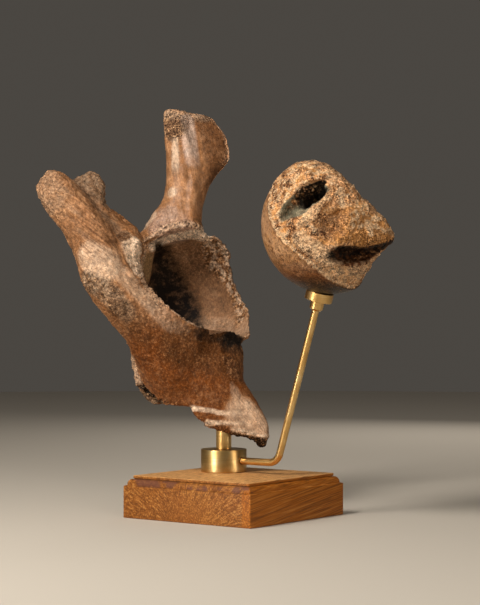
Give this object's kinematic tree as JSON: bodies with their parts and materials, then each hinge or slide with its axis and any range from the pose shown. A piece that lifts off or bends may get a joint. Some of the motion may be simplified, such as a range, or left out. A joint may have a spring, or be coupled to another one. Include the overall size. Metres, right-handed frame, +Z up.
{
  "type": "mounted fossil hip socket",
  "caption": "Broken fossil hip socket of a mammoth on a brass post, beside a broken thigh-bone head on a bent rod, over a moulded oak base.",
  "frame": {"origin": "centre of the oak base's underside", "axes": "+Z up; X and Y run along the sides of the square base; the lower run of the bent rod points along +X"},
  "size_m": [0.3702, 0.2309, 0.4601],
  "materials": {
    "oak": "satin oil on mid-brown oak",
    "brass": "satin, brushed",
    "hip_fossil": "mineralised bone, matt to dull satin, with rough broken ends",
    "head_fossil": "mineralised bone, smooth on the ball and open-pored on the break"
  },
  "bodies": {
    "root": {"oak_base": "oak", "brass_boss": "brass", "brass_post": "brass", "brass_rod": "brass", "ball_cup": "brass", "hip_bone": "hip_fossil", "femoral_head": "head_fossil"}
  },
  "joints": []
}
